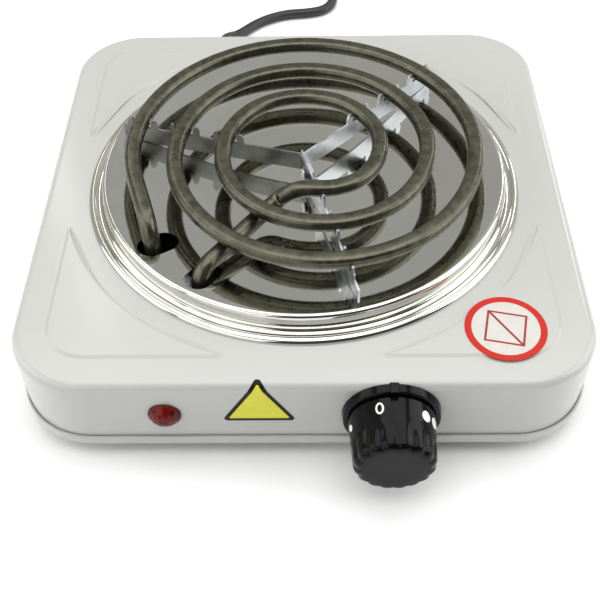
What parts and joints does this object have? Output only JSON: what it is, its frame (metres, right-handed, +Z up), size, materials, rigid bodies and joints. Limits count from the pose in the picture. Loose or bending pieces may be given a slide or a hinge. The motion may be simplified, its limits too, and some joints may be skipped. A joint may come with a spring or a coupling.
{
  "type": "electric hot plate",
  "caption": "Portable electric hot plate with a flat spiral heating element above a raised round pan, a front thermostat knob, an indicator lamp and a coiled mains cord.",
  "frame": {"origin": "centre of the bounding box of the hot plate without its cord, on the plane the feet stand on", "axes": "+Z up, -Y towards the front with the knob and lamp, +X to the right as seen from the front"},
  "size_m": [0.2481, 0.4429, 0.0669],
  "materials": {
    "arm_back": "galvanised",
    "arm_front": "galvanised",
    "arm_left": "galvanised",
    "base_pan": "gloss enamel",
    "bimetal_strip": "satin",
    "bracket_screws": "satin",
    "clamp_screws": "satin",
    "contact_leaf": "satin",
    "cord_clamp": "matt",
    "cord_coil": "satin",
    "cord_tie": "matt",
    "corner_posts": "satin",
    "drip_pan": "mirror polished",
    "earth_screw": "satin",
    "fixed_contact": "satin",
    "foot_screws": "satin",
    "heating_coil": "dull oxidised",
    "hub_rivet": "satin",
    "inner_cord": "satin",
    "knob": "gloss",
    "knob_bezel": "gloss",
    "knob_spindle": "satin",
    "lamp_clip": "satin",
    "lamp_holder": "matt",
    "lamp_lens": "translucent gloss",
    "lamp_wires": "satin",
    "lead_beads": "matt",
    "lead_bracket": "galvanised",
    "lead_pins": "satin",
    "lead_terminals": "satin",
    "leaf_terminal": "satin",
    "neon_bulb": "clear",
    "neon_leads": "satin",
    "plug_body": "satin",
    "plug_lead": "satin",
    "plug_pins": "satin",
    "power_cord": "satin",
    "pusher_pin": "matt",
    "rubber_feet": "matt",
    "stack_rivet": "satin",
    "stack_spacers": "matt",
    "strain_relief": "matt",
    "thermostat_plate": "galvanised",
    "thermostat_screws": "satin",
    "threaded_bush": "satin",
    "top_shell": "gloss enamel",
    "warning_disc": "printed film",
    "warning_triangle": "printed film",
    "wire_earth": "satin",
    "wire_live": "satin",
    "wire_load": "satin",
    "wire_neutral": "satin"
  },
  "bodies": {
    "housing": {"arm_back": "arm_back", "arm_front": "arm_front", "arm_left": "arm_left", "base_pan": "base_pan", "bimetal_strip": "bimetal_strip", "bracket_screws": "bracket_screws", "clamp_screws": "clamp_screws", "cord_clamp": "cord_clamp", "cord_coil": "cord_coil", "cord_tie": "cord_tie", "corner_posts": "corner_posts", "drip_pan": "drip_pan", "earth_screw": "earth_screw", "fixed_contact": "fixed_contact", "foot_screws": "foot_screws", "heating_coil": "heating_coil", "hub_rivet": "hub_rivet", "inner_cord": "inner_cord", "knob_bezel": "knob_bezel", "lamp_clip": "lamp_clip", "lamp_holder": "lamp_holder", "lamp_lens": "lamp_lens", "lamp_wires": "lamp_wires", "lead_beads": "lead_beads", "lead_bracket": "lead_bracket", "lead_pins": "lead_pins", "lead_terminals": "lead_terminals", "leaf_terminal": "leaf_terminal", "neon_bulb": "neon_bulb", "neon_leads": "neon_leads", "plug_body": "plug_body", "plug_lead": "plug_lead", "plug_pins": "plug_pins", "power_cord": "power_cord", "rubber_feet": "rubber_feet", "stack_rivet": "stack_rivet", "stack_spacers": "stack_spacers", "strain_relief": "strain_relief", "thermostat_plate": "thermostat_plate", "thermostat_screws": "thermostat_screws", "threaded_bush": "threaded_bush", "top_shell": "top_shell", "warning_disc": "warning_disc", "warning_triangle": "warning_triangle", "wire_earth": "wire_earth", "wire_live": "wire_live", "wire_load": "wire_load", "wire_neutral": "wire_neutral"},
    "knob": {"knob": "knob", "knob_spindle": "knob_spindle"},
    "pusher": {"pusher_pin": "pusher_pin"},
    "leaf": {"contact_leaf": "contact_leaf"}
  },
  "joints": [
    {"name": "knob_turn", "type": "hinge", "parent": "housing", "child": "knob", "pos_m": [0.034, -0.10305, 0.0275], "axis": [0, 1, 0], "range_deg": [0, 300]},
    {"name": "pusher_slide", "type": "slide", "parent": "housing", "child": "pusher", "axis": [0, 1, 0], "range_m": [0, 0.0007]},
    {"name": "leaf_flex", "type": "hinge", "parent": "housing", "child": "leaf", "pos_m": [0.0209, -0.09185, 0.0275], "axis": [0, 0, 1], "range_deg": [0, 3]}
  ],
  "couplings": [
    {"joint": "pusher_slide", "follows": "knob_turn", "m_per_rad": 0.000114},
    {"joint": "leaf_flex", "follows": "knob_turn", "ratio": 0.0092}
  ]
}
